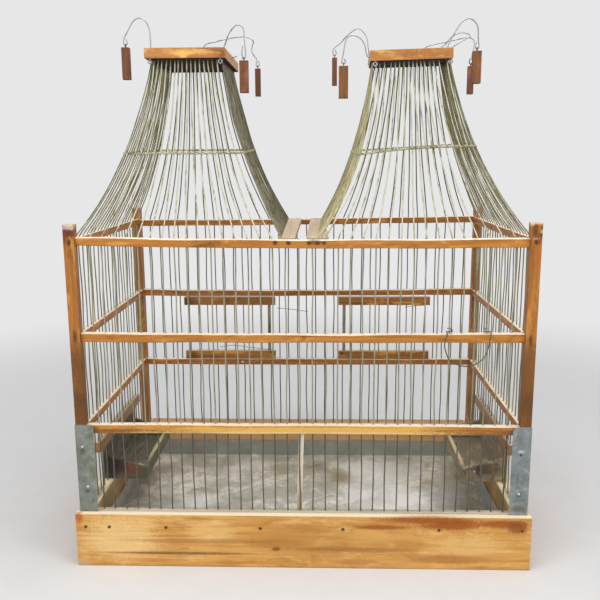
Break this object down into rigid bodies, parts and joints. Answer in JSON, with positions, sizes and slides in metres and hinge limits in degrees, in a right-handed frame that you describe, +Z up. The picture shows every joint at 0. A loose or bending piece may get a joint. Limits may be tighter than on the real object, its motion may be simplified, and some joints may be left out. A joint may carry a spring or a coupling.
{
  "type": "canary breeding cage",
  "caption": "Twin-spired wooden breeding cage strung with wire, on a plinth with a zinc drawer tray, sliding glass front, back doors and side seed troughs.",
  "frame": {"origin": "centre of the plinth's underside, where the cage stands on a table", "axes": "+X to the right seen from the front, +Y from the glass front to the back doors, +Z up"},
  "size_m": [0.537, 0.3265, 0.6494],
  "materials": {
    "plinth_pine": "worn, lightly varnished",
    "frame_wood": "old varnish",
    "cap_wood": "old varnish",
    "pale_wood": "bare, worn",
    "block_wood": "stained",
    "trough_wood": "aged, dirty",
    "cage_wire": "dull, tarnished",
    "zinc_sheet": "mottled, dull",
    "nail_iron": "rusted",
    "pane": "clear, a little dusty"
  },
  "bodies": {
    "cage": {"base_front_board": "plinth_pine", "base_left_board": "plinth_pine", "base_right_board": "plinth_pine", "base_back_rail": "plinth_pine", "bottom_board": "plinth_pine", "front_left_post": "frame_wood", "front_right_post": "frame_wood", "back_left_post": "frame_wood", "back_right_post": "frame_wood", "front_top_rail": "frame_wood", "front_middle_rail": "frame_wood", "front_lower_rail": "frame_wood", "back_rails": "frame_wood", "left_side_rails": "frame_wood", "right_side_rails": "frame_wood", "bridge_planks": "pale_wood", "left_spire_cap": "cap_wood", "right_spire_cap": "cap_wood", "front_wires": "cage_wire", "back_wires": "cage_wire", "wires_above_doors": "cage_wire", "wires_below_doors": "cage_wire", "left_side_wires": "cage_wire", "right_side_wires": "cage_wire", "left_spire_front_wires": "cage_wire", "left_spire_back_wires": "cage_wire", "left_spire_outer_wires": "cage_wire", "left_spire_inner_wires": "cage_wire", "right_spire_front_wires": "cage_wire", "right_spire_back_wires": "cage_wire", "right_spire_outer_wires": "cage_wire", "right_spire_inner_wires": "cage_wire", "left_tie_ring": "cage_wire", "right_tie_ring": "cage_wire", "left_cap_hooks": "cage_wire", "right_cap_hooks": "cage_wire", "left_corner_plate": "zinc_sheet", "right_corner_plate": "zinc_sheet", "plinth_nails": "nail_iron", "frame_nails": "nail_iron", "divider_slat": "pale_wood"},
    "glass": {"glass_pane": "pane"},
    "drawer": {"zinc_tray": "zinc_sheet", "tray_front": "plinth_pine"},
    "left_door": {"left_door_bars": "frame_wood", "left_door_wires": "cage_wire"},
    "right_door": {"right_door_bars": "frame_wood", "right_door_wires": "cage_wire"},
    "left_seed_trough": {"left_trough": "trough_wood"},
    "right_seed_trough": {"right_trough": "trough_wood"},
    "bail": {"wire_bail": "cage_wire"},
    "block_left_a_body": {"block_left_a": "block_wood"},
    "block_left_b_body": {"block_left_b": "block_wood"},
    "block_left_c_body": {"block_left_c": "block_wood"},
    "block_right_a_body": {"block_right_a": "block_wood"},
    "block_right_b_body": {"block_right_b": "block_wood"},
    "block_right_c_body": {"block_right_c": "block_wood"},
    "block_right_d_body": {"block_right_d": "block_wood"}
  },
  "joints": [
    {"name": "glass_slide", "type": "slide", "parent": "cage", "child": "glass", "axis": [0, 0, 1], "range_m": [0, 0.1]},
    {"name": "drawer_slide", "type": "slide", "parent": "cage", "child": "drawer", "axis": [0, 1, 0], "range_m": [0, 0.26]},
    {"name": "left_door_hinge", "type": "hinge", "parent": "cage", "child": "left_door", "pos_m": [-0.182, 0.1475, 0.22], "axis": [0, 0, 1], "range_deg": [0, 105]},
    {"name": "right_door_hinge", "type": "hinge", "parent": "cage", "child": "right_door", "pos_m": [0.182, 0.1475, 0.22], "axis": [0, 0, -1], "range_deg": [0, 105]},
    {"name": "left_trough_slide", "type": "slide", "parent": "cage", "child": "left_seed_trough", "axis": [-1, 0, 0], "range_m": [0, 0.05]},
    {"name": "right_trough_slide", "type": "slide", "parent": "cage", "child": "right_seed_trough", "axis": [1, 0, 0], "range_m": [0, 0.05]},
    {"name": "bail_swing", "type": "hinge", "parent": "cage", "child": "bail", "pos_m": [0.189, -0.1475, 0.2855], "axis": [-1, 0, 0], "range_deg": [0, 40]},
    {"name": "block_left_a_swing", "type": "hinge", "parent": "cage", "child": "block_left_a_body", "pos_m": [-0.206, -0.068, 0.61], "axis": [1, 0, 0], "range_deg": [-25, 25]},
    {"name": "block_left_b_swing", "type": "hinge", "parent": "cage", "child": "block_left_b_body", "pos_m": [-0.0674, -0.068, 0.594], "axis": [1, 0, 0], "range_deg": [-25, 25]},
    {"name": "block_left_c_swing", "type": "hinge", "parent": "cage", "child": "block_left_c_body", "pos_m": [-0.0628, 0.066, 0.6015], "axis": [1, 0, 0], "range_deg": [-25, 25]},
    {"name": "block_right_a_swing", "type": "hinge", "parent": "cage", "child": "block_right_a_body", "pos_m": [0.049, -0.068, 0.5868], "axis": [1, 0, 0], "range_deg": [-25, 25]},
    {"name": "block_right_b_swing", "type": "hinge", "parent": "cage", "child": "block_right_b_body", "pos_m": [0.0407, 0.066, 0.6146], "axis": [1, 0, 0], "range_deg": [-25, 25]},
    {"name": "block_right_c_swing", "type": "hinge", "parent": "cage", "child": "block_right_c_body", "pos_m": [0.203, -0.068, 0.6021], "axis": [1, 0, 0], "range_deg": [-25, 25]},
    {"name": "block_right_d_swing", "type": "hinge", "parent": "cage", "child": "block_right_d_body", "pos_m": [0.2228, 0.066, 0.602], "axis": [1, 0, 0], "range_deg": [-25, 25]}
  ]
}
